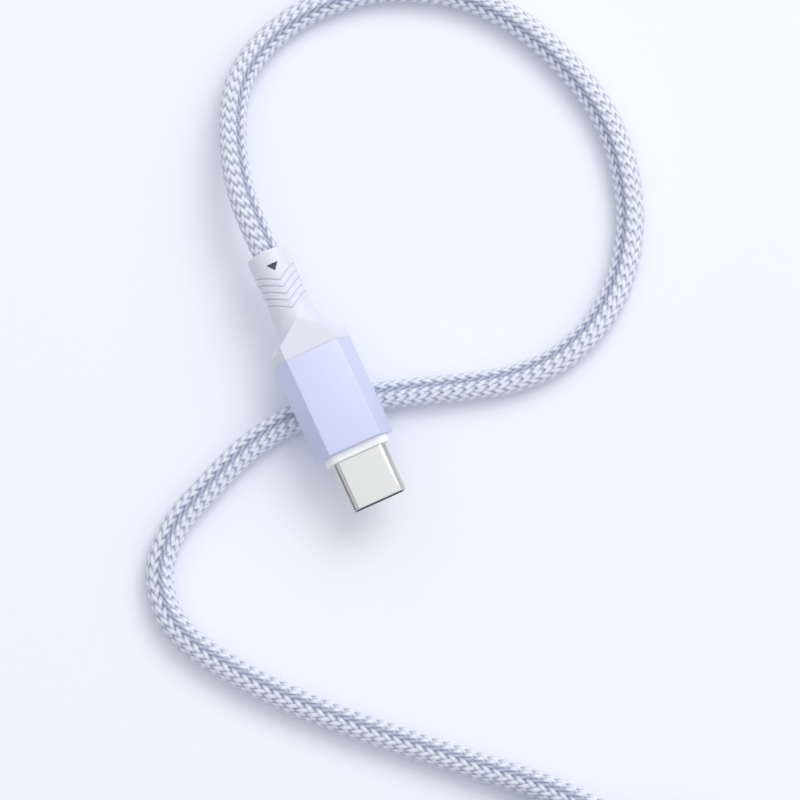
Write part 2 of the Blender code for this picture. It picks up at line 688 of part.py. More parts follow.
def smooth_curve(points, steps=12):
    """A dense smooth curve through a few points."""
    padded = [points[0] * 2 - points[1], *points, points[-1] * 2 - points[-2]]
    dense = []
    for before, start, end, after in zip(padded, padded[1:], padded[2:], padded[3:]):
        for i in range(steps):
            t = i / steps
            bend = (end - before) * t + (before * 2 - start * 5 + end * 4 - after) * t**2
            bend += (start * 3 - before - end * 3 + after) * t**3
            dense.append(start + bend / 2)
    dense.append(points[-1])
    return dense


def lengths_along(points):
    """Distance of each point from the first, along the line."""
    lengths = [0.0]
    for start, end in zip(points, points[1:]):
        lengths.append(lengths[-1] + (end - start).length)
    return lengths


def evenly_spaced(points, step):
    """Points of a dense curve, about one step apart, with both ends kept."""
    lengths = lengths_along(points)
    count = max(2, round(lengths[-1] / step))
    spaced = []
    index = 0
    for i in range(count + 1):
        wanted = lengths[-1] * i / count
        while index < len(points) - 2 and lengths[index + 1] < wanted:
            index += 1
        share = (wanted - lengths[index]) / (lengths[index + 1] - lengths[index])
        spaced.append(points[index].lerp(points[index + 1], share))
    return spaced


def coil_points():
    """The coil's centreline in its own frame: in on the lower layer, out on the upper one."""
    points = []
    for i in range(COIL_TURNS * LOOP_POINTS + 1):
        turn = i / LOOP_POINTS
        radius = COIL_OUTER_RADIUS - COIL_PITCH * min(turn, COIL_TURNS - turn)
        climb = smoothstep((turn - COIL_TURNS / 2) / CLIMB_TURNS + 0.5)
        angle = -2 * math.pi * turn
        height = CORD_RADIUS + COIL_PITCH * climb
        points.append(Vector((radius * math.cos(angle), radius * math.sin(angle), height)))
    straight = Vector((0.0, -CORD_DIAMETER, 0.0))
    return [points[0] - straight, *points, points[-1] + straight]


def least_coil_gap(points):
    """Least clear distance between turns of the coil, measured on dense points."""
    dense = smooth_curve(points, 4)
    lengths = lengths_along(dense)
    apart = math.pi * CORD_DIAMETER
    gap = math.inf
    for i, point in enumerate(dense):
        for j in range(i + 1, len(dense)):
            if lengths[j] - lengths[i] > apart:
                gap = min(gap, (dense[j] - point).length)
    return gap - CORD_DIAMETER


def tie_reach():
    """Inner and outer distance of the tie's opening from the coil's middle, a quarter turn back."""
    inner_turn = COIL_OUTER_RADIUS - COIL_PITCH * (COIL_TURNS - CLIMB_TURNS) / 2
    inner = math.sqrt(inner_turn**2 - (TIE_WIDTH / 2) ** 2) - CORD_RADIUS
    return inner - 2 * REST_GAP, COIL_OUTER_RADIUS + CORD_RADIUS + REST_GAP


def coil_matrix():
    """Place of the coil: it leans by the thickness of the tie that passes under one side."""
    pivot = COIL_OUTER_RADIUS + CORD_RADIUS
    tilt = math.asin((TIE_THICKNESS + REST_GAP) / (tie_reach()[0] + pivot))
    place = Matrix.Translation((*COIL_CENTRE, FLOOR_Z + pivot * math.sin(tilt)))
    return place @ Matrix.Rotation(COIL_HEADING, 4, "Z") @ Matrix.Rotation(tilt, 4, "X")


def rounded_rectangle(low_y, high_y, low_z, high_z, radius):
    """An outline with quarter-round corners."""
    corners = (
        (high_y - radius, high_z - radius, 0),
        (low_y + radius, high_z - radius, 90),
        (low_y + radius, low_z + radius, 180),
        (high_y - radius, low_z + radius, 270),
    )
    outline = []
    for y, z, start in corners:
        for degrees in (0, 22.5, 45, 67.5, 90):
            turn = math.radians(start + degrees)
            outline.append((y + radius * math.cos(turn), z + radius * math.sin(turn)))
    return outline


def add_tie(parent, materials):
    """Strap round the coil's turns."""
    low, high = tie_reach()
    base = -REST_GAP
    top = COIL_TOP + REST_GAP
    bend = CORD_RADIUS + REST_GAP
    inner = rounded_rectangle(low, high, base, top, bend)
    t = TIE_THICKNESS
    outer = rounded_rectangle(low - t, high + t, base - t, top + t, bend + t)
    body = tube_x(outer, inner, -TIE_WIDTH / 2, TIE_WIDTH / 2)
    add_solid("coil_tie", body, materials["strap"], parent)


def cord_heights(points, start_z, end_z):
    """Lower a plan route from the plug to the floor, and lift it into the coil at its end."""
    lengths = lengths_along(points)
    lying = FLOOR_Z + CORD_RADIUS
    raised = []
    for point, length in zip(points, lengths):
        dropped = smoothstep((length - CORD_SEAT - EXIT_STRAIGHT) / DROP_LENGTH)
        lifted = smoothstep((length - lengths[-1] + COIL_LEAD_IN) / COIL_LEAD_IN)
        z = start_z + (lying - start_z) * dropped + (end_z - lying) * lifted
        raised.append(Vector((point.x, point.y, z)))
    return raised


def add_cord_main(coil_place, coil_line, materials):
    """Stretch from the near boot, round the loop, under the plug and on to the coil."""
    direction = (coil_line[0] - coil_line[1]).normalized()
    end = coil_place @ (coil_line[0] + direction * REST_GAP)
    plan = [Vector((CORD_END_X, 0.0, 0.0)), Vector((RIM_X, 0.0, 0.0))]
    plan += [Vector((x * MM, y * MM, 0.0)) for x, y in ROUTE]
    plan.append(Vector((end.x, end.y, 0.0)))
    line = cord_heights(smooth_curve(plan), 0.0, end.z)
    points = evenly_spaced(line, CORD_STEP)
    add_tube("cord_main", points, CORD_DIAMETER, 3, materials["braid"], None)
    return lengths_along(line)[-1]


def far_plug_matrix():
    """Place of the far plug in the coil's frame: lying on top of the turns."""
    height = COIL_TOP + REST_GAP + SLEEVE_HEIGHT / 2
    rim = Matrix.Translation((*FAR_RIM, height))
    return rim @ Matrix.Rotation(FAR_HEADING, 4, "Z") @ Matrix.Translation((-RIM_X, 0.0, 0.0))


def add_cord_tail(parent, coil_line, far_place, materials):
    """Stretch that climbs off the coil and turns into the far boot."""
    direction = (coil_line[-1] - coil_line[-2]).normalized()
    start = coil_line[-1] + direction * REST_GAP
    rim = far_place @ Vector((RIM_X, 0.0, 0.0))
    end = far_place @ Vector((CORD_END_X, 0.0, 0.0))
    plan = [start, start + direction * CORD_DIAMETER]
    plan += [Vector((x * MM, y * MM, 0.0)) for x, y in TAIL_ROUTE]
    plan += [rim, end]
    flat = smooth_curve([Vector((point.x, point.y, 0.0)) for point in plan])
    line = []
    for point, length in zip(flat, lengths_along(flat)):
        z = start.z + (end.z - start.z) * smoothstep((length - CORD_DIAMETER) / TAIL_RISE)
        line.append(Vector((point.x, point.y, z)))
    points = evenly_spaced(line, CORD_STEP)
    add_tube("cord_tail", points, CORD_DIAMETER, 3, materials["braid"], parent)
    return lengths_along(line)[-1]


def main():
    clear_scene()
    materials = make_materials()
    add_plug("near_", add_object("near_plug", None), materials)

    coil_frame = add_object("coil_frame", None)
    coil_frame.matrix_world = coil_matrix()
    coil_line = coil_points()
    add_tube("cord_coil", coil_line, CORD_DIAMETER, 1, materials["braid"], coil_frame)
    add_tie(coil_frame, materials)

    far_plug = add_object("far_plug", None, parent=coil_frame)
    far_plug.matrix_local = far_plug_matrix()
    add_plug("far_", far_plug, materials)

    main_length = add_cord_main(coil_matrix(), coil_line, materials)
    tail_length = add_cord_tail(coil_frame, coil_line, far_plug_matrix(), materials)
    total = main_length + lengths_along(coil_line)[-1] + tail_length
    print(f"cord length {total / MM:.0f} mm")
    print(f"least gap of the coil to itself {least_coil_gap(coil_line) / MM:.2f} mm")


main()
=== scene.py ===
"""Looks of the braided USB-C cable: woven cord, moulded boots, anodised sleeves, light and camera.

Metres, in the part's own frame: the near plug's centre is the origin and its mouth faces +X.
Both plugs get the same dressed pieces, placed where their solids are.
"""
import json
import math

import bmesh
import bpy
import numpy as np
from mathutils import Matrix, Vector

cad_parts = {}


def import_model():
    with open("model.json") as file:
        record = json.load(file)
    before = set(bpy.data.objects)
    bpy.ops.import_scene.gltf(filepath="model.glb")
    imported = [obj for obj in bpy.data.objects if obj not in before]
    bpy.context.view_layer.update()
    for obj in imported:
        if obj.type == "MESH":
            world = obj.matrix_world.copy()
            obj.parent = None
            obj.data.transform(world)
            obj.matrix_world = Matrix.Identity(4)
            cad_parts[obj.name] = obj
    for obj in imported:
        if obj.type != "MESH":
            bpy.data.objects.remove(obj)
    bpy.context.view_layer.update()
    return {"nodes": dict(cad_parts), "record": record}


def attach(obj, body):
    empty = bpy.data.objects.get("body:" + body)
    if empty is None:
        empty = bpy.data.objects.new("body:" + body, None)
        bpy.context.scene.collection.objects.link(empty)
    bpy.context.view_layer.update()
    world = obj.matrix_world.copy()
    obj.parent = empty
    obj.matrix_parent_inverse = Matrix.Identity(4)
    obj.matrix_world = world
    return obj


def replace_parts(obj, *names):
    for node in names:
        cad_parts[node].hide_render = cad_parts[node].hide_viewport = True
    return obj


MM = 0.001

# Plug: lengths that show along its axis, from the mouth to the cord
SHELL_REACH = 7.2 * MM
COLLAR_REACH = 1.15 * MM
SLEEVE_LENGTH = 15.0 * MM
BOOT_LENGTH = 15.8 * MM

# Clearances
FIT = 0.05 * MM
SEAM = 0.01 * MM
REST_GAP = 0.3 * MM

# Steel shell
SHELL_WIDTH = 8.25 * MM
SHELL_HEIGHT = 2.40 * MM
SHELL_WALL = 0.30 * MM
SHELL_LENGTH = 12.4 * MM
SHELL_EDGE = 0.10 * MM

# Collar and hexagonal sleeve
COLLAR_WIDTH = 9.8 * MM
COLLAR_HEIGHT = 4.1 * MM
COLLAR_DEPTH = 1.5 * MM
COLLAR_EDGE = 0.18 * MM
SLEEVE_WIDTH = 11.9 * MM
SLEEVE_HEIGHT = 6.2 * MM
SLEEVE_FLAT = 7.9 * MM
SLEEVE_WALL = 0.5 * MM
SLEEVE_FRONT_WALL = 0.8 * MM
SLEEVE_BEVEL = 0.14 * MM

# Strain relief: shoulder, gable facet, flared neck, grooves and arrow
SHOULDER_LENGTH = 1.6 * MM
SHOULDER_LEDGE = 0.1 * MM
SPIGOT_LENGTH = 1.2 * MM
GABLE_CORNER = 2.1 * MM
GABLE_APEX = 5.1 * MM
GABLE_STEP = 0.02 * MM
FLARE_LENGTH = 1.9 * MM
NECK_WIDTH = 5.85 * MM
NECK_HEIGHT = 5.8 * MM
RIM_SWELL = 0.35 * MM
RIM_ROUND = 0.25 * MM
GROOVE_COUNT = 5
GROOVE_FIRST = 6.7 * MM
GROOVE_PITCH = 1.09 * MM
GROOVE_WIDTH = 0.36 * MM
GROOVE_DEPTH = 0.24 * MM
GROOVE_SWEEP = 0.60
ARROW_FROM_RIM = 2.1 * MM
ARROW_LENGTH = 1.1 * MM
ARROW_WIDTH = 1.75 * MM
ARROW_DEPTH = 0.2 * MM
BORE_DEPTH = 8.3 * MM

# Neck: its start in the shoulder, the crowding of its rings and the flare's flattened section
NECK_START_SHARE = 0.8
FLARE_CROWDING = 1.4
FLARE_FLATTENING = 0.5

# Cord
CORD_DIAMETER = 4.2 * MM
CORD_SEAT = 8.0 * MM
CORD_CLEARANCE = 0.2 * MM
EXIT_STRAIGHT = 4.0 * MM
DROP_LENGTH = 36.0 * MM
COIL_LEAD_IN = 16.0 * MM

# Plan of the cord in millimetres, from near the plug to near the coil
ROUTE = (
    (-27.5, 0.2), (-33.5, 1.3), (-39.6, 3.5), (-44.6, 6.4), (-48.0, 10.2), (-50.3, 15.0),
    (-51.4, 21.0), (-50.8, 29.0), (-48.0, 36.5), (-43.2, 43.2), (-36.4, 48.4), (-28.0, 51.9),
    (-19.0, 53.6), (-10.5, 52.8), (-2.5, 49.9), (4.3, 44.9), (8.6, 39.0), (10.8, 32.0),
    (10.6, 24.8), (8.6, 17.6), (6.0, 10.0), (3.8, 2.0), (2.9, -6.0), (4.0, -13.5),
    (6.7, -20.8), (9.8, -27.4), (14.4, -32.1), (20.2, -33.8), (25.6, -32.7), (31.0, -29.6),
    (37.0, -25.1), (43.9, -18.8), (51.3, -11.1), (58.4, -3.4), (66.0, 4.9), (73.0, 10.8),
)

# Coil, in its own frame: it starts at +X and winds clockwise
COIL_CENTRE = (100.2 * MM, -1.9 * MM)
COIL_HEADING = math.radians(129.4)
COIL_OUTER_RADIUS = 26.9 * MM
COIL_TURNS = 5
COIL_GAP = 0.5 * MM
CLIMB_TURNS = 0.5
LOOP_POINTS = 48
TIE_WIDTH = 8.0 * MM
TIE_THICKNESS = 0.8 * MM
TIE_EDGE = 0.2 * MM
TIE_LAP_SHARE = 0.65

# Plan of the tail in millimetres, in the coil's frame, and the far plug that it ends in
TAIL_ROUTE = (
    (25.6, -13.8), (22.4, -18.6), (17.6, -22.0), (12.0, -23.6),
    (6.2, -23.2), (1.0, -20.9), (-3.2, -17.3), (-6.3, -13.4),
)
TAIL_RISE = 28.0 * MM
FAR_RIM = (-8.6 * MM, -9.7 * MM)
FAR_HEADING = math.radians(120.0)

# Braid: strands each way, the length of one turn, a strand's section and its rise over the others
STRANDS = 16
BRAID_TURN = 26.4 * MM
STRAND_WIDTH = 0.68 * MM
STRAND_THICKNESS = 0.40 * MM
STRAND_LIFT = 0.14 * MM
SEEN_LENGTH = 310.0 * MM
PATH_STEP = 0.5 * MM

# Points of a strand in one turn and round its section, on the open stretch and on the coil
OPEN_POINTS = (64, 8)
COILED_POINTS = (36, 5)

# Columns of the weave in each quarter turn: start in degrees, and how far right-hand strands rise
COLUMNS = ((-43.0, -1.0), (-27.0, 0.4), (-21.0, -1.0), (-4.0, 1.0), (15.0, -1.0), (37.0, 1.0))
COLUMN_REPEAT = 90.0

# Furrow along the braid: its place in degrees, its depth, how much darker its yarn is painted and how narrow
FURROW_PLACE = 77.0
FURROW_DEPTH = 0.15 * MM
FURROW_SHADE = 0.2
FURROW_SHARPNESS = 40

# How far the braid is turned round the cord, in degrees, at places along it
BRAID_PLACES = (20.0 * MM, 110.0 * MM, 230.0 * MM)
BRAID_TURNED = (44.0, 62.0, 16.0)

# Wires in a plug, shown as one piece
WIRES = ("vbus_wire", "ground_wire", "cc_wire", "data_plus_wire", "data_minus_wire")

# Facets of the round shapes
ARC_STEPS = 24
CIRCLE_STEPS = 48
LIP_STEPS = 4
TIE_ARC_STEPS = 8
NECK_STEPS = 72
FLARE_RINGS = 24
GROOVE_RINGS = 4
REAR_RINGS = 8
RIM_RINGS = 5
BEVEL_SEGMENTS = 3
CURVE_STEPS = 12
COIL_STEPS = 6
CORE_STRIDE = 4
CORE_ROUNDNESS = 3

# Edges by their angle in radians: shaded smooth up to a crease, and bevelled from the last value on
CREASE = 0.5
SLEEVE_CREASE = 0.35
WIRE_CREASE = 0.9
TIE_CREASE = 0.6
BEVEL_FROM = 0.6

# Camera and floor
VIEW_AZIMUTH = math.radians(65.5)
VIEW_ELEVATION = math.radians(80.5)
VIEW_TARGET = (7.578 * MM, 8.624 * MM, 0.012 * MM)
VIEW_DISTANCE = 505.77 * MM
VIEW_LENS = 160.0
SENSOR_WIDTH = 36.0
FLOOR_SIZE = 4.0

# Finishes: colour as a picture's 0 to 255 values, roughness, metalness and how far the colour varies
FINISHES = {
    "steel": ((217, 216, 214), 0.18, 1.0, 0.04),
    "spring_steel": ((200, 201, 203), 0.35, 1.0, 0.05),
    "contact_gold": ((222, 186, 110), 0.28, 1.0, 0.04),
    "black_plastic": ((42, 42, 45), 0.45, 0.0, 0.08),
    "green_board": ((38, 104, 62), 0.4, 0.0, 0.1),
    "copper": ((206, 140, 108), 0.35, 1.0, 0.06),
    "red_sheath": ((176, 38, 38), 0.45, 0.0, 0.05),
    "black_sheath": ((36, 36, 38), 0.45, 0.0, 0.05),
    "blue_sheath": ((50, 84, 168), 0.45, 0.0, 0.05),
    "green_sheath": ((44, 138, 74), 0.45, 0.0, 0.05),
    "white_sheath": ((228, 228, 228), 0.45, 0.0, 0.05),
    "grey_core": ((190, 192, 200), 0.55, 0.0, 0.05),
    "milky_mould": ((222, 224, 228), 0.45, 0.0, 0.03),
    "white_plastic": ((226, 229, 240), 0.4, 0.0, 0.02),
    "collar_plastic": ((253, 254, 255), 0.35, 0.0, 0.02),
    "lavender_metal": ((212, 217, 245), 0.42, 0.25, 0.03),
    "cord_core": ((150, 160, 186), 0.85, 0.0, 0.1),
    "strap": ((216, 219, 232), 0.85, 0.0, 0.1),
    "arrow_ink": ((75, 78, 90), 0.6, 0.0, 0.05),
    "pale_floor": ((244, 247, 255), 0.9, 0.0, 0.01),
}

# Grain of a finish: how fine it is and how far it stands out, on plain surfaces and on others
PLAIN_GRAIN = (900.0, 0.0)
GRAINS = {
    "white_plastic": (5000.0, 0.01 * MM),
    "collar_plastic": (5000.0, 0.01 * MM),
    "lavender_metal": (6000.0, 0.008 * MM),
    "strap": (2500.0, 0.15 * MM),
}
GRAIN_DETAIL = 3.0
GLOSS_SPREAD = 0.12

# Milky plastic: how far light enters it, and its share of such light
MILKY_DEPTH = 0.6 * MM
MILKY_SHARES = {"white_plastic": 0.5, "collar_plastic": 0.3}

# Yarn: its white on the crowns, the blue-grey painted shade down in the weave, and the depth and heights over
# which that shade is painted
YARN_PAINTED_SHADE = (147, 157, 184)
YARN_CROWN = (243, 246, 255)
YARN_ROUGHNESS = 0.7
PAINTED_SHADE_DEPTH = 0.5 * MM
FULL_SHADE_HEIGHT = 0.25

# Fibres of the yarn: their size, the shift from strand to strand, and how far they vary and stand out
FIBRE_LENGTH = 2.0 * MM
FIBRE_WIDTH = 0.1 * MM
FIBRE_SHIFT = 10.0
FIBRE_DETAIL = 2.0
FIBRE_SPREAD = 0.2
FIBRE_RELIEF = 0.03 * MM
FIBRE_STRENGTH = 0.5

# Light: the room's brightest side and level, the dark rim of its ceiling panel, and the lamp
ROOM_COLOUR = (0.95, 0.97, 1.0, 1.0)
BRIGHT_SIDE = (-0.05, 0.22, 0.97)
BRIGHT_LEVEL = 1.2
DARK_FROM = -0.3
PANEL_RIM = (0.83, 0.91, 0.94)
RIM_LEVEL = 0.1
KEY_PLACE = (-0.25, 0.45, 0.68)
KEY_SIZE = 0.5
KEY_POWER = 2.5
KEY_COLOUR = (1.0, 0.99, 0.98)

# Places along a plug that follow from its lengths
PLUG_LENGTH = SHELL_REACH + COLLAR_REACH + SLEEVE_LENGTH + BOOT_LENGTH
MOUTH_X = PLUG_LENGTH / 2
COLLAR_X = MOUTH_X - SHELL_REACH
SLEEVE_FRONT_X = COLLAR_X - COLLAR_REACH
SLEEVE_REAR_X = SLEEVE_FRONT_X - SLEEVE_LENGTH
RIM_X = SLEEVE_REAR_X - BOOT_LENGTH
SHELL_REAR_X = MOUTH_X - SHELL_LENGTH
CORD_END_X = RIM_X + CORD_SEAT
CORD_RADIUS = CORD_DIAMETER / 2
FLOOR_Z = -(SLEEVE_HEIGHT / 2 + REST_GAP + CORD_DIAMETER)
COIL_PITCH = CORD_DIAMETER + COIL_GAP
COIL_TOP = COIL_PITCH + CORD_DIAMETER


def linear(red, green, blue):
    """A colour given in the 0 to 255 values of a picture, as the shader wants it."""
    shares = [value / 255 for value in (red, green, blue)]
    return tuple(((s + 0.055) / 1.055) ** 2.4 if s > 0.04045 else s / 12.92 for s in shares)


def smoothstep(value):
    """Ease from 0 to 1 as the value goes from 0 to 1."""
    value = min(1.0, max(0.0, value))
    return value * value * (3 - 2 * value)


def new_material(name):
    """A new material, its tree of nodes and its Principled shader."""
    material = bpy.data.materials.new(name)
    material.use_nodes = True
    tree = material.node_tree
    return material, tree, tree.nodes["Principled BSDF"]


def add_noise(tree, place, scale, detail):
    """Noise that follows a place on the surface."""
    noise = tree.nodes.new("ShaderNodeTexNoise")
    noise.inputs["Scale"].default_value = scale
    noise.inputs["Detail"].default_value = detail
    tree.links.new(place, noise.inputs["Vector"])
    return noise.outputs["Fac"]


def vary(tree, noise, middle, spread):
    """A value that goes up and down with the noise."""
    band = tree.nodes.new("ShaderNodeMapRange")
    band.inputs["To Min"].default_value = middle - spread / 2
    band.inputs["To Max"].default_value = middle + spread / 2
    tree.links.new(noise, band.inputs["Value"])
    return band.outputs["Result"]


def add_tint(tree, noise, spread, shader):
    """Let the shader's colour vary with the noise, and return the socket that takes the colour."""
    tint = tree.nodes.new("ShaderNodeVectorMath")
    tint.operation = "SCALE"
    tree.links.new(vary(tree, noise, 1.0, spread), tint.inputs["Scale"])
    tree.links.new(tint.outputs["Vector"], shader.inputs["Base Color"])
    return tint.inputs[0]


def add_relief(tree, noise, depth, strength, shader):
    """Let the shader's surface rise and fall with the noise."""
    bump = tree.nodes.new("ShaderNodeBump")
    bump.inputs["Strength"].default_value = strength
    bump.inputs["Distance"].default_value = depth
    tree.links.new(noise, bump.inputs["Height"])
    tree.links.new(bump.outputs["Normal"], shader.inputs["Normal"])


def make_material(name):
    """A Principled material whose colour, gloss and surface vary a little, as real surfaces do."""
    colour, roughness, metallic, spread = FINISHES[name]
    grain_scale, relief = GRAINS.get(name, PLAIN_GRAIN)
    material, tree, shader = new_material(name)
    shader.inputs["Metallic"].default_value = metallic
    shader.inputs["Subsurface Weight"].default_value = MILKY_SHARES.get(name, 0.0)
    shader.inputs["Subsurface Radius"].default_value = (1.0, 1.0, 1.0)
    shader.inputs["Subsurface Scale"].default_value = MILKY_DEPTH
    place = tree.nodes.new("ShaderNodeTexCoord")
    noise = add_noise(tree, place.outputs["Object"], grain_scale, GRAIN_DETAIL)
    add_tint(tree, noise, spread, shader).default_value = linear(*colour)
    tree.links.new(vary(tree, noise, roughness, GLOSS_SPREAD), shader.inputs["Roughness"])
    if relief:
        add_relief(tree, noise, relief, 1.0, shader)
    return material


def make_yarn():
    """Woven yarn: white on its crowns, with blue-grey shade painted down in the weave, and fine fibres along
    it.
    """
    material, tree, shader = new_material("braid_yarn")
    shader.inputs["Roughness"].default_value = YARN_ROUGHNESS
    height = tree.nodes.new("ShaderNodeAttribute")
    height.attribute_name = "height"
    ramp = tree.nodes.new("ShaderNodeValToRGB")
    # The ramp runs from the painted shade deep in the weave to the white of the crowns
    shade_stop, crown = ramp.color_ramp.elements
    shade_stop.position = FULL_SHADE_HEIGHT
    shade_stop.color = (*linear(*YARN_PAINTED_SHADE), 1.0)
    crown.color = (*linear(*YARN_CROWN), 1.0)
    tree.links.new(height.outputs["Fac"], ramp.inputs["Fac"])
    place = tree.nodes.new("ShaderNodeAttribute")
    place.attribute_name = "fibre"
    noise = add_noise(tree, place.outputs["Vector"], 1.0, FIBRE_DETAIL)
    tree.links.new(ramp.outputs["Color"], add_tint(tree, noise, FIBRE_SPREAD, shader))
    add_relief(tree, noise, FIBRE_RELIEF, FIBRE_STRENGTH, shader)
    return material


def make_materials():
    """One material for each kind of surface."""
    materials = {name: make_material(name) for name in FINISHES}
    materials["yarn"] = make_yarn()
    return materials


def add_mesh(name, mesh, material):
    """Put a mesh into the scene with its material."""
    thing = bpy.data.objects.new(name, mesh)
    bpy.context.scene.collection.objects.link(thing)
    if material:
        mesh.materials.append(material)
    return thing


def smooth(mesh, crease=CREASE):
    """Shade a mesh smooth, apart from edges that turn more than the crease."""
    mesh.shade_smooth()
    mesh.set_sharp_from_angle(angle=crease)


def finish_solid(name, bm, material):
    """Turn a bmesh into an object, smooth where its facets meet at small angles."""
    mesh = bpy.data.meshes.new(name)
    bm.to_mesh(mesh)
    bm.free()
    smooth(mesh)
    return add_mesh(name, mesh, material)


def skin(loops, closed=False):
    """Skin rings of equally many points into one closed body, capped or joined end to end."""
    bm = bmesh.new()
    rings = [[bm.verts.new(point) for point in loop] for loop in loops]
    pairs = list(zip(rings, rings[1:]))
    if closed:
        pairs.append((rings[-1], rings[0]))
    else:
        bm.faces.new(rings[0])
        bm.faces.new(rings[-1])
    for near, far in pairs:
        for i in range(len(near)):
            j = (i + 1) % len(near)
            bm.faces.new((near[i], near[j], far[j], far[i]))
    bmesh.ops.recalc_face_normals(bm, faces=bm.faces)
    return bm


def at_x(outline, x):
    """A cross-section outline of (y, z) points, placed at x."""
    return [(x, y, z) for y, z in outline]


def prism_x(outline, start, end):
    """An outline of (y, z) points extruded along the plug."""
    return skin([at_x(outline, start), at_x(outline, end)])


def prism_z(outline, low, high):
    """A plan outline of (x, y) points extruded upwards."""
    return skin([[(x, y, low) for x, y in outline], [(x, y, high) for x, y in outline]])


def circle(radius):
    """A round outline."""
    turns = [2 * math.pi * i / CIRCLE_STEPS for i in range(CIRCLE_STEPS)]
    return [(radius * math.cos(turn), radius * math.sin(turn)) for turn in turns]


def stadium(width, height):
    """An outline with two straight sides and two half-round ends."""
    radius = height / 2
    reach = width / 2 - radius
    outline = []
    for side in (1, -1):
        for i in range(ARC_STEPS + 1):
            turn = math.pi * (i / ARC_STEPS - 0.5)
            y = side * (reach + radius * math.cos(turn))
            outline.append((y, side * radius * math.sin(turn)))
    return outline


def hexagon(inset=0.0):
    """The sleeve's outline, with every face moved in by the inset."""
    half_height = SLEEVE_HEIGHT / 2
    run = (SLEEVE_WIDTH - SLEEVE_FLAT) / 2
    slant = math.hypot(run, half_height)
    side = SLEEVE_WIDTH / 2 - inset * slant / half_height
    top = half_height - inset
    flat = side - run * top / half_height
    return [(flat, top), (side, 0.0), (flat, -top), (-flat, -top), (-side, 0.0), (-flat, top)]


def combine(target, bm, operation, material=None):
    """Join a body to an object or cut it out, with the body's own material if it has one."""
    operand = finish_solid("operand", bm, material)
    modifier = target.modifiers.new(operation, "BOOLEAN")
    modifier.operation = operation
    modifier.solver = "EXACT"
    modifier.material_mode = "TRANSFER" if material else "INDEX"
    modifier.object = operand
    bake_modifiers(target)
    bpy.data.objects.remove(operand, do_unlink=True)


def bake_modifiers(thing):
    """Replace an object's mesh by its modified shape."""
    graph = bpy.context.evaluated_depsgraph_get()
    baked = bpy.data.meshes.new_from_object(thing.evaluated_get(graph))
    thing.modifiers.clear()
    thing.data = baked


def soften(thing, width):
    """Round the sharp edges of an object."""
    bevel = thing.modifiers.new("soft_edges", "BEVEL")
    bevel.width = width
    bevel.segments = BEVEL_SEGMENTS
    bevel.limit_method = "ANGLE"
    bevel.angle_limit = BEVEL_FROM
    bake_modifiers(thing)


def round_lip(width, height, edge, x):
    """Rings that round the outer edge of a stadium-shaped end."""
    rings = []
    for i in range(LIP_STEPS + 1):
        turn = math.pi / 2 * i / LIP_STEPS
        inset = edge * (1 - math.sin(turn))
        outline = stadium(width - 2 * inset, height - 2 * inset)
        rings.append(at_x(outline, x - edge * (1 - math.cos(turn))))
    return rings


def tube(size, hole, edge, front_x, rear_x):
    """A stadium-shaped tube with a rounded front edge."""
    lip = round_lip(*size, edge, front_x)
    outer = stadium(*size)
    inner = stadium(*hole)
    loops = [*lip, at_x(outer, rear_x), at_x(inner, rear_x), at_x(inner, front_x)]
    return skin(loops, closed=True)


def make_shell(prefix, materials):
    """Drawn steel shell with a rounded mouth."""
    hole = (SHELL_WIDTH - 2 * SHELL_WALL, SHELL_HEIGHT - 2 * SHELL_WALL)
    body = tube((SHELL_WIDTH, SHELL_HEIGHT), hole, SHELL_EDGE, MOUTH_X, SHELL_REAR_X)
    return finish_solid(prefix + "shell_skin", body, materials["steel"])


def make_collar(prefix, materials):
    """White ring round the shell, with a rounded front edge."""
    hole = (SHELL_WIDTH + 2 * FIT, SHELL_HEIGHT + 2 * FIT)
    rear_x = SLEEVE_FRONT_X - COLLAR_DEPTH
    body = tube((COLLAR_WIDTH, COLLAR_HEIGHT), hole, COLLAR_EDGE, COLLAR_X, rear_x)
    return finish_solid(prefix + "collar_skin", body, materials["collar_plastic"])


def make_sleeve(prefix, materials):
    """Hexagonal sleeve with softened edges, a bore and an opening for the collar."""
    body = prism_x(hexagon(), SLEEVE_FRONT_X, SLEEVE_REAR_X - SLEEVE_WALL)
    sleeve = finish_solid(prefix + "sleeve_skin", body, materials["lavender_metal"])
    soften(sleeve, SLEEVE_BEVEL)
    spare = prism_x(hexagon(-SLEEVE_WALL), SLEEVE_REAR_X + SEAM, SLEEVE_REAR_X - 2 * SLEEVE_WALL)
    combine(sleeve, spare, "DIFFERENCE")
    bore_front_x = SLEEVE_FRONT_X - SLEEVE_FRONT_WALL
    combine(sleeve, prism_x(hexagon(SLEEVE_WALL), bore_front_x, SLEEVE_REAR_X - FIT), "DIFFERENCE")
    outline = stadium(COLLAR_WIDTH + 2 * FIT, COLLAR_HEIGHT + 2 * FIT)
    combine(sleeve, prism_x(outline, SLEEVE_FRONT_X + FIT, bore_front_x - FIT), "DIFFERENCE")
    smooth(sleeve.data, SLEEVE_CREASE)
    return sleeve


def neck_half_sizes(depth):
    """Half width, half height and section power of the neck at a depth behind the sleeve."""
    flare = math.exp(-max(0.0, depth - SHOULDER_LENGTH) / FLARE_LENGTH)
    swell = RIM_SWELL / 2 * smoothstep((depth - GABLE_APEX) / (BOOT_LENGTH - GABLE_APEX))
    neck = NECK_WIDTH / 2 + swell
    half_width = neck + (SLEEVE_WIDTH / 2 - SHOULDER_LEDGE - neck) * flare
    half_height = NECK_HEIGHT / 2 + swell / 2
    return half_width, half_height, 2.0 - FLARE_FLATTENING * flare


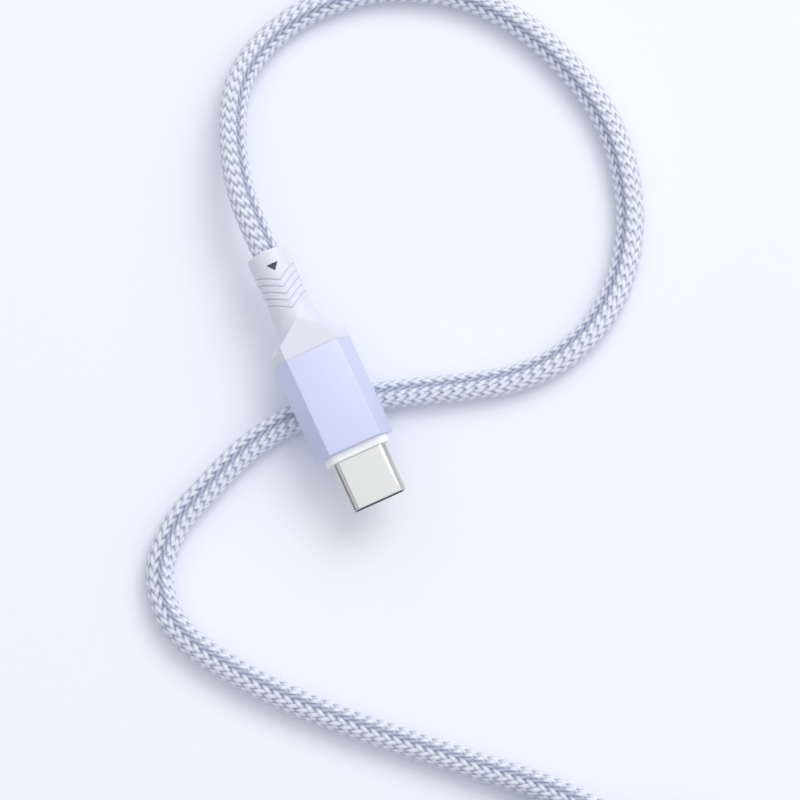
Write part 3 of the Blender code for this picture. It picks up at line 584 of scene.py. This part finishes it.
def neck_sweep(depth):
    """How far the rings are swept into chevrons: fully at the grooves, not at all at the ends."""
    first = GROOVE_FIRST - GROOVE_WIDTH
    last = GROOVE_FIRST + (GROOVE_COUNT - 1) * GROOVE_PITCH + GROOVE_WIDTH
    rise = smoothstep((depth - GABLE_APEX) / (first - GABLE_APEX))
    fall = smoothstep((depth - last) / (BOOT_LENGTH - 2 * RIM_ROUND - last))
    return GROOVE_SWEEP * rise * (1 - fall)


def neck_ring(depth, cut):
    """One ring of the neck, its surface cut in by a small depth."""
    sweep = neck_sweep(depth) * neck_half_sizes(depth)[0]
    ring = []
    for i in range(NECK_STEPS):
        turn = 2 * math.pi * i / NECK_STEPS
        across = math.cos(turn)
        upward = math.sin(turn)
        swept = depth + sweep * abs(across)
        half_width, half_height, power = neck_half_sizes(swept)
        y = math.copysign(abs(across) ** (2 / power), across) * (half_width - cut)
        z = math.copysign(abs(upward) ** (2 / power), upward) * (half_height - cut)
        ring.append((SLEEVE_REAR_X - swept, y, z))
    return ring


def neck_rings():
    """Rings from inside the shoulder to the rim, with a rounded cut at each groove."""
    rings = [neck_ring(SHOULDER_LENGTH * NECK_START_SHARE, 0.0)]
    flare_end = (GABLE_APEX + GROOVE_FIRST) / 2
    for i in range(FLARE_RINGS + 1):
        share = (i / FLARE_RINGS) ** FLARE_CROWDING
        rings.append(neck_ring(SHOULDER_LENGTH + share * (flare_end - SHOULDER_LENGTH), 0.0))
    for i in range(GROOVE_COUNT):
        middle = GROOVE_FIRST + i * GROOVE_PITCH
        for j in range(-GROOVE_RINGS, GROOVE_RINGS + 1):
            cut = GROOVE_DEPTH * 0.5 * (1 + math.cos(math.pi * j / GROOVE_RINGS))
            rings.append(neck_ring(middle + GROOVE_WIDTH / 2 * j / GROOVE_RINGS, cut))
    last = GROOVE_FIRST + (GROOVE_COUNT - 1) * GROOVE_PITCH + GROOVE_WIDTH / 2
    rim_start = BOOT_LENGTH - RIM_ROUND
    for i in range(1, REAR_RINGS + 1):
        rings.append(neck_ring(last + (rim_start - last) * i / REAR_RINGS, 0.0))
    for i in range(1, RIM_RINGS + 1):
        turn = math.pi / 2 * i / RIM_RINGS
        depth = rim_start + RIM_ROUND * math.sin(turn)
        rings.append(neck_ring(depth, RIM_ROUND * (1 - math.cos(turn))))
    return rings


def make_boot(prefix, materials):
    """Strain relief: grooved neck, hexagonal shoulder with its spigot, gable facets and bore."""
    boot = finish_solid(prefix + "boot_skin", skin(neck_rings()), materials["white_plastic"])
    spigot = hexagon(SLEEVE_WALL + FIT)
    shoulder = skin(
        [
            at_x(spigot, SLEEVE_REAR_X + SPIGOT_LENGTH),
            at_x(spigot, SLEEVE_REAR_X),
            at_x(hexagon(), SLEEVE_REAR_X),
            at_x(hexagon(), SLEEVE_REAR_X - SHOULDER_LENGTH),
        ]
    )
    combine(boot, shoulder, "UNION")
    half_flat = SLEEVE_FLAT / 2
    gable_plan = [
        (SLEEVE_REAR_X - SHOULDER_LENGTH / 2, half_flat),
        (SLEEVE_REAR_X - GABLE_CORNER, half_flat),
        (SLEEVE_REAR_X - GABLE_APEX, 0.0),
        (SLEEVE_REAR_X - GABLE_CORNER, -half_flat),
        (SLEEVE_REAR_X - SHOULDER_LENGTH / 2, -half_flat),
    ]
    half_height = SLEEVE_HEIGHT / 2 - GABLE_STEP
    combine(boot, prism_z(gable_plan, -half_height, half_height), "UNION")
    cord_hole = circle(CORD_RADIUS + CORD_CLEARANCE)
    combine(boot, prism_x(cord_hole, RIM_X + BORE_DEPTH, RIM_X - FIT), "DIFFERENCE")
    combine(boot, arrow_prism(), "DIFFERENCE", materials["arrow_ink"])
    smooth(boot.data)
    return boot


def arrow_prism():
    """The arrow's triangle, from the bottom of its recess to above the neck's top surface."""
    base_x = RIM_X + ARROW_FROM_RIM
    plan = [
        (base_x, ARROW_WIDTH / 2),
        (base_x + ARROW_LENGTH, 0.0),
        (base_x, -ARROW_WIDTH / 2),
    ]
    top = neck_half_sizes(BOOT_LENGTH - ARROW_FROM_RIM)[1]
    return prism_z(plan, top - ARROW_DEPTH, top + ARROW_DEPTH)


def join_wires(prefix, nodes):
    """The five conductors as one piece, each in its own colour."""
    joined = bmesh.new()
    mesh = bpy.data.meshes.new(prefix + "wire_set")
    names = [prefix + wire for wire in WIRES]
    for index, name in enumerate(names):
        mesh.materials.append(nodes[name].data.materials[0])
        start = len(joined.faces)
        joined.from_mesh(nodes[name].data)
        joined.faces.ensure_lookup_table()
        for face in joined.faces[start:]:
            face.material_index = index
    joined.to_mesh(mesh)
    joined.free()
    smooth(mesh, WIRE_CREASE)
    wires = add_mesh(prefix + "wire_set", mesh, None)
    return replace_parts(wires, *names)


def dress_plug(prefix, place, materials):
    """The pieces of a plug that show, put where its solids are."""
    dressed = {
        "plug_shell": make_shell(prefix, materials),
        "collar": make_collar(prefix, materials),
        "sleeve": make_sleeve(prefix, materials),
        "strain_relief": make_boot(prefix, materials),
    }
    for node, piece in dressed.items():
        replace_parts(piece, prefix + node)
        piece.data.transform(place)
    return list(dressed.values())


def smooth_curve(points, steps=CURVE_STEPS):
    """A dense smooth curve through a few points."""
    padded = [points[0] * 2 - points[1], *points, points[-1] * 2 - points[-2]]
    dense = []
    for before, start, end, after in zip(padded, padded[1:], padded[2:], padded[3:]):
        for i in range(steps):
            t = i / steps
            bend = (end - before) * t + (before * 2 - start * 5 + end * 4 - after) * t**2
            bend += (start * 3 - before - end * 3 + after) * t**3
            dense.append(start + bend / 2)
    dense.append(points[-1])
    return dense


def lengths_along(points):
    """Distance of each point from the first, along the line."""
    lengths = [0.0]
    for start, end in zip(points, points[1:]):
        lengths.append(lengths[-1] + (end - start).length)
    return lengths


def coil_points():
    """The coil's centreline in its own frame: in on the lower layer, out on the upper one."""
    points = []
    for i in range(COIL_TURNS * LOOP_POINTS + 1):
        turn = i / LOOP_POINTS
        radius = COIL_OUTER_RADIUS - COIL_PITCH * min(turn, COIL_TURNS - turn)
        climb = smoothstep((turn - COIL_TURNS / 2) / CLIMB_TURNS + 0.5)
        angle = -2 * math.pi * turn
        height = CORD_RADIUS + COIL_PITCH * climb
        points.append(Vector((radius * math.cos(angle), radius * math.sin(angle), height)))
    straight = Vector((0.0, -CORD_DIAMETER, 0.0))
    return [points[0] - straight, *points, points[-1] + straight]


def tie_reach():
    """Inner and outer distance of the tie's opening from the coil's middle, a quarter turn back."""
    inner_turn = COIL_OUTER_RADIUS - COIL_PITCH * (COIL_TURNS - CLIMB_TURNS) / 2
    inner = math.sqrt(inner_turn**2 - (TIE_WIDTH / 2) ** 2) - CORD_RADIUS
    return inner - 2 * REST_GAP, COIL_OUTER_RADIUS + CORD_RADIUS + REST_GAP


def coil_matrix():
    """Place of the coil: it leans by the thickness of the tie that passes under one side."""
    pivot = COIL_OUTER_RADIUS + CORD_RADIUS
    tilt = math.asin((TIE_THICKNESS + REST_GAP) / (tie_reach()[0] + pivot))
    place = Matrix.Translation((*COIL_CENTRE, FLOOR_Z + pivot * math.sin(tilt)))
    return place @ Matrix.Rotation(COIL_HEADING, 4, "Z") @ Matrix.Rotation(tilt, 4, "X")


def far_plug_matrix():
    """Place of the far plug: lying on top of the coil's turns."""
    height = COIL_TOP + REST_GAP + SLEEVE_HEIGHT / 2
    rim = Matrix.Translation((*FAR_RIM, height))
    turned = rim @ Matrix.Rotation(FAR_HEADING, 4, "Z")
    return coil_matrix() @ turned @ Matrix.Translation((-RIM_X, 0.0, 0.0))


def main_stretch(end):
    """Line from the near boot, round the loop, under the plug and on to the coil."""
    plan = [Vector((CORD_END_X, 0.0, 0.0)), Vector((RIM_X, 0.0, 0.0))]
    plan += [Vector((x * MM, y * MM, 0.0)) for x, y in ROUTE]
    plan.append(Vector((end.x, end.y, 0.0)))
    flat = smooth_curve(plan)
    lengths = lengths_along(flat)
    lying = FLOOR_Z + CORD_RADIUS
    line = []
    for point, length in zip(flat, lengths):
        dropped = smoothstep((length - CORD_SEAT - EXIT_STRAIGHT) / DROP_LENGTH)
        lifted = smoothstep((length - lengths[-1] + COIL_LEAD_IN) / COIL_LEAD_IN)
        z = lying * dropped + (end.z - lying) * lifted
        line.append(Vector((point.x, point.y, z)))
    return line


def tail_stretch(start, direction):
    """Line that climbs off the coil and turns into the far boot, in the coil's frame."""
    far_place = coil_matrix().inverted() @ far_plug_matrix()
    rim = far_place @ Vector((RIM_X, 0.0, 0.0))
    end = far_place @ Vector((CORD_END_X, 0.0, 0.0))
    plan = [start, start + direction * CORD_DIAMETER]
    plan += [Vector((x * MM, y * MM, 0.0)) for x, y in TAIL_ROUTE]
    plan += [rim, end]
    flat = smooth_curve([Vector((point.x, point.y, 0.0)) for point in plan])
    line = []
    for point, length in zip(flat, lengths_along(flat)):
        z = start.z + (end.z - start.z) * smoothstep((length - CORD_DIAMETER) / TAIL_RISE)
        line.append(Vector((point.x, point.y, z)))
    return line


def cord_line():
    """The whole cord's centreline, at even steps, as an array of points."""
    place = coil_matrix()
    coil = coil_points()
    lead = (coil[0] - coil[1]).normalized()
    direction = (coil[-1] - coil[-2]).normalized()
    line = main_stretch(place @ (coil[0] + lead * REST_GAP))
    line += [place @ point for point in smooth_curve(coil, COIL_STEPS)]
    tail = tail_stretch(coil[-1] + direction * REST_GAP, direction)
    line += [place @ point for point in tail]
    lengths = np.array(lengths_along(line))
    points = np.array(line)
    count = round(lengths[-1] / PATH_STEP)
    steps = np.linspace(0.0, lengths[-1], count + 1)
    return np.stack([np.interp(steps, lengths, points[:, axis]) for axis in range(3)], axis=1)


def cord_frames(points):
    """Sideways and upward unit directions along the cord, turning no more than its bends need."""
    tangents = np.gradient(points, axis=0)
    tangents /= np.linalg.norm(tangents, axis=1, keepdims=True)
    side = np.array((0.0, 1.0, 0.0))
    sides = []
    for tangent in tangents:
        side = side - tangent * np.dot(side, tangent)
        side = side / np.linalg.norm(side)
        sides.append(side)
    sides = np.array(sides)
    return sides, np.cross(tangents, sides)


def add_core(points, materials):
    """Plain inner cord under the braid."""
    curve = bpy.data.curves.new("cord_core", "CURVE")
    curve.dimensions = "3D"
    curve.bevel_depth = CORD_RADIUS - 2 * STRAND_LIFT - STRAND_THICKNESS / 2
    curve.bevel_resolution = CORE_ROUNDNESS
    curve.use_fill_caps = True
    spline = curve.splines.new("POLY")
    chosen = points[::CORE_STRIDE]
    spline.points.add(len(chosen) - 1)
    for target, point in zip(spline.points, chosen):
        target.co = (*point, 1.0)
    core = bpy.data.objects.new("cord_core", curve)
    bpy.context.scene.collection.objects.link(core)
    curve.materials.append(materials["cord_core"])
    return core


def furrow(angle):
    """How far a place round the cord is down in the furrow, from 0 to 1."""
    return np.cos(angle - math.radians(FURROW_PLACE)) ** FURROW_SHARPNESS


def weave(angle, way):
    """How far the strands of one way rise over the others or sink under them, by the angle round the cord."""
    starts, rises = np.transpose(COLUMNS)
    place = (np.degrees(angle) - starts[0]) % COLUMN_REPEAT + starts[0]
    count = np.interp(place, [*starts, starts[0] + COLUMN_REPEAT], np.arange(len(starts) + 1))
    column = np.minimum(count.astype(int), len(starts) - 1)
    right_over = rises[column] * np.sin(np.pi * (count - column))
    return way * STRAND_LIFT * right_over - FURROW_DEPTH * furrow(angle)


def strand_points(line, frames, places, strand, way, corners):
    """Surface points of one strand, a soft flat ribbon, with the heights that set their painted shade, and
    their fibre places.
    """
    middle = CORD_RADIUS - STRAND_THICKNESS / 2 - STRAND_LIFT
    slope = math.atan2(2 * math.pi * middle, BRAID_TURN)
    turns = np.linspace(0.0, 2 * math.pi, corners, endpoint=False)
    angle = 2 * math.pi * (strand / STRANDS + way * places / BRAID_TURN)
    across = STRAND_WIDTH / 2 * np.cos(turns)[None, :]
    outward = STRAND_THICKNESS / 2 * np.sin(turns)[None, :]
    radius = middle + weave(angle, way)[:, None] + outward
    along = places[:, None] - way * math.sin(slope) * across
    turned = angle + np.radians(np.interp(places, BRAID_PLACES, BRAID_TURNED))
    turned = turned[:, None] + math.cos(slope) * across / middle
    steps = np.arange(len(line)) * PATH_STEP
    parts = []
    for axis in range(3):
        base = np.interp(along, steps, line[:, axis])
        side = np.interp(along, steps, frames[0][:, axis])
        up = np.interp(along, steps, frames[1][:, axis])
        parts.append(base + radius * (np.cos(turned) * side + np.sin(turned) * up))
    # Painted shade: the deeper a point lies below the braid's surface, the lower its level and the darker its
    # blue-grey; in the furrow the level drops further, so the furrow is painted darker
    shade_levels = 1.0 + (radius - CORD_RADIUS) / PAINTED_SHADE_DEPTH - FURROW_SHADE * furrow(angle)[:, None]
    lengthwise = np.broadcast_to(places[:, None] / FIBRE_LENGTH, radius.shape)
    crosswise = np.broadcast_to(across / FIBRE_WIDTH, radius.shape)
    fibres = np.stack([lengthwise, crosswise, np.full(radius.shape, FIBRE_SHIFT * strand)], axis=2)
    return np.stack(parts, axis=2).reshape(-1, 3), shade_levels.ravel(), fibres.reshape(-1, 3)


def add_strands(name, line, frames, stretch, way, material):
    """All the strands that wind one way, over a stretch of the cord."""
    start, end, samples, corners = stretch
    count = int((end - start) / BRAID_TURN * samples)
    places = np.linspace(start, end, count)
    strands = [strand_points(line, frames, places, i, way, corners) for i in range(STRANDS)]
    vertices, shade_levels, fibres = (np.concatenate(values) for values in zip(*strands))
    row, corner = np.meshgrid(np.arange(count - 1), np.arange(corners), indexing="ij")
    beside = (corner + 1) % corners
    quad = np.stack(
        [row * corners + corner, row * corners + beside,
         (row + 1) * corners + beside, (row + 1) * corners + corner], axis=2
    ).reshape(-1, 4)
    faces = np.concatenate([quad + i * count * corners for i in range(STRANDS)])
    mesh = bpy.data.meshes.new(name)
    mesh.vertices.add(len(vertices))
    mesh.vertices.foreach_set("co", vertices.ravel())
    mesh.loops.add(faces.size)
    mesh.loops.foreach_set("vertex_index", faces.ravel())
    mesh.polygons.add(len(faces))
    mesh.polygons.foreach_set("loop_start", np.arange(0, faces.size, faces.shape[1]))
    mesh.update(calc_edges=True)
    # The height attribute carries each point's painted-shade level to the yarn material
    mesh.attributes.new("height", "FLOAT", "POINT").data.foreach_set("value", shade_levels)
    mesh.attributes.new("fibre", "FLOAT_VECTOR", "POINT").data.foreach_set("vector", fibres.ravel())
    mesh.shade_smooth()
    return add_mesh(name, mesh, material)


def add_braid(line, materials):
    """The woven sleeve: the strands of each way, finer on the open stretch than on the coil."""
    frames = cord_frames(line)
    length = (len(line) - 1) * PATH_STEP
    margin = STRAND_WIDTH
    stretches = {
        "open": (margin, SEEN_LENGTH, *OPEN_POINTS),
        "coiled": (SEEN_LENGTH, length - margin, *COILED_POINTS),
    }
    braid = []
    for label, stretch in stretches.items():
        for way, side in ((1, "right"), (-1, "left")):
            name = f"{side}_hand_strands_{label}"
            strands = add_strands(name, line, frames, stretch, way, materials["yarn"])
            braid.append(strands)
    return braid


def tie_outline(offset):
    """The strap's outline at an offset from the turns, from its outer side over the top and back."""
    low, high = tie_reach()
    sides = (low - offset, high + offset)
    levels = (-REST_GAP - offset, COIL_TOP + REST_GAP + offset)
    radius = CORD_RADIUS + REST_GAP + offset
    outline = []
    for quarter, (side, level) in enumerate(((1, 1), (0, 1), (0, 0), (1, 0))):
        y = sides[side] + radius * (1 - 2 * side)
        z = levels[level] + radius * (1 - 2 * level)
        for i in range(TIE_ARC_STEPS + 1):
            turn = math.pi / 2 * (quarter + i / TIE_ARC_STEPS)
            outline.append((y + radius * math.cos(turn), z + radius * math.sin(turn)))
    return outline


def lap_edge(offset):
    """Line of the strap's free end at an offset from the turns: up one side and part way across."""
    outline = tie_outline(offset)
    corner = outline[: TIE_ARC_STEPS + 1]
    start = corner[-1]
    end = outline[TIE_ARC_STEPS + 1]
    free_end = start[0] + (end[0] - start[0]) * TIE_LAP_SHARE
    return [*corner, (free_end, start[1])]


def add_tie(place, materials):
    """Strap round the coil's turns, with its free end lapped over the top."""
    inner = tie_outline(0.0)
    outer = tie_outline(TIE_THICKNESS)
    half = TIE_WIDTH / 2
    loops = [at_x(outer, -half), at_x(outer, half), at_x(inner, half), at_x(inner, -half)]
    tie = finish_solid("tie_strap", skin(loops, closed=True), materials["strap"])
    lap = [*lap_edge(TIE_THICKNESS / 2), *reversed(lap_edge(2 * TIE_THICKNESS))]
    combine(tie, prism_x(lap, TIE_EDGE - half, half - TIE_EDGE), "UNION")
    soften(tie, TIE_EDGE)
    smooth(tie.data, TIE_CREASE)
    tie.data.transform(place)
    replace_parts(tie, "coil_tie")
    return tie


def dress_inner_nodes(nodes, slots, materials):
    """Materials of the solids by their slots. The cord's solids, which are replaced, take the core's."""
    for name, slot in slots.items():
        mesh = nodes[name].data
        mesh.materials.clear()
        mesh.materials.append(materials.get(slot, materials["cord_core"]))


def add_floor(materials):
    """Pale surface that the cable lies on."""
    half = FLOOR_SIZE / 2
    plan = ((-half, -half), (half, -half), (half, half), (-half, half))
    mesh = bpy.data.meshes.new("floor")
    mesh.from_pydata([(x, y, FLOOR_Z) for x, y in plan], [], [(0, 1, 2, 3)])
    floor = add_mesh("floor", mesh, materials["pale_floor"])


def aim(thing, location, target):
    """Place a lamp or the camera and turn it to a point."""
    thing.location = location
    direction = Vector(target) - Vector(location)
    thing.rotation_euler = direction.to_track_quat("-Z", "Y").to_euler()


def add_lamp():
    """A soft square lamp that faces the plug."""
    light = bpy.data.lights.new("key", "AREA")
    light.size = KEY_SIZE
    light.energy = KEY_POWER
    light.color = KEY_COLOUR
    lamp = bpy.data.objects.new("key", light)
    bpy.context.scene.collection.objects.link(lamp)
    aim(lamp, KEY_PLACE, (0.0, 0.0, 0.0))


def add_light():
    """Pale room, brightest overhead and towards the image's upper right, and one soft lamp from there."""
    world = bpy.data.worlds.new("pale_room")
    world.use_nodes = True
    nodes = world.node_tree.nodes
    links = world.node_tree.links
    background = nodes["Background"]
    background.inputs["Color"].default_value = ROOM_COLOUR
    place = nodes.new("ShaderNodeTexCoord")
    towards = nodes.new("ShaderNodeVectorMath")
    towards.operation = "DOT_PRODUCT"
    towards.inputs[1].default_value = BRIGHT_SIDE
    links.new(place.outputs["Generated"], towards.inputs[0])
    level = nodes.new("ShaderNodeMapRange")
    level.inputs["From Min"].default_value = DARK_FROM
    level.inputs["To Max"].default_value = BRIGHT_LEVEL
    links.new(towards.outputs["Value"], level.inputs["Value"])
    split = nodes.new("ShaderNodeSeparateXYZ")
    links.new(place.outputs["Generated"], split.inputs["Vector"])
    rim = nodes.new("ShaderNodeValToRGB")
    stops = rim.color_ramp.elements
    stops[0].color = (1.0, 1.0, 1.0, 1.0)
    for height, share in zip(PANEL_RIM, (1.0, RIM_LEVEL, 1.0)):
        stops.new(height).color = (share, share, share, 1.0)
    links.new(split.outputs["Z"], rim.inputs["Fac"])
    strength = nodes.new("ShaderNodeMath")
    strength.operation = "MULTIPLY"
    links.new(level.outputs["Result"], strength.inputs[0])
    links.new(rim.outputs["Color"], strength.inputs[1])
    links.new(strength.outputs["Value"], background.inputs["Strength"])
    bpy.context.scene.world = world
    add_lamp()


def add_camera():
    """The photograph's viewpoint."""
    scene = bpy.context.scene
    data = bpy.data.cameras.new("camera")
    data.lens = VIEW_LENS
    data.sensor_width = SENSOR_WIDTH
    camera = bpy.data.objects.new("camera", data)
    scene.collection.objects.link(camera)
    flat = math.cos(VIEW_ELEVATION)
    back = Vector(
        (math.sin(VIEW_AZIMUTH) * flat, -math.cos(VIEW_AZIMUTH) * flat, math.sin(VIEW_ELEVATION))
    )
    target = Vector(VIEW_TARGET)
    aim(camera, target + back * VIEW_DISTANCE, target)
    scene.camera = camera


def main():
    """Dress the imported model, weave the braid over its cord, and set floor, light and camera."""
    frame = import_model()
    bpy.context.scene.view_settings.view_transform = "Standard"
    materials = make_materials()
    slots = {entry["node"]: entry["material_slot"] for entry in frame["record"]["subparts"]}
    dress_inner_nodes(frame["nodes"], slots, materials)

    line = cord_line()
    core = add_core(line, materials)
    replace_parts(core, "cord_main", "cord_coil", "cord_tail")
    on_cord = [*add_braid(line, materials), add_tie(coil_matrix(), materials)]
    on_cord += dress_plug("far_", far_plug_matrix(), materials)
    on_cord.append(join_wires("far_", frame["nodes"]))
    for piece in on_cord:
        piece.parent = core
    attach(core, "cable")
    for piece in dress_plug("near_", Matrix.Identity(4), materials):
        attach(piece, "cable")
    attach(join_wires("near_", frame["nodes"]), "cable")

    add_floor(materials)
    add_light()
    add_camera()


main()
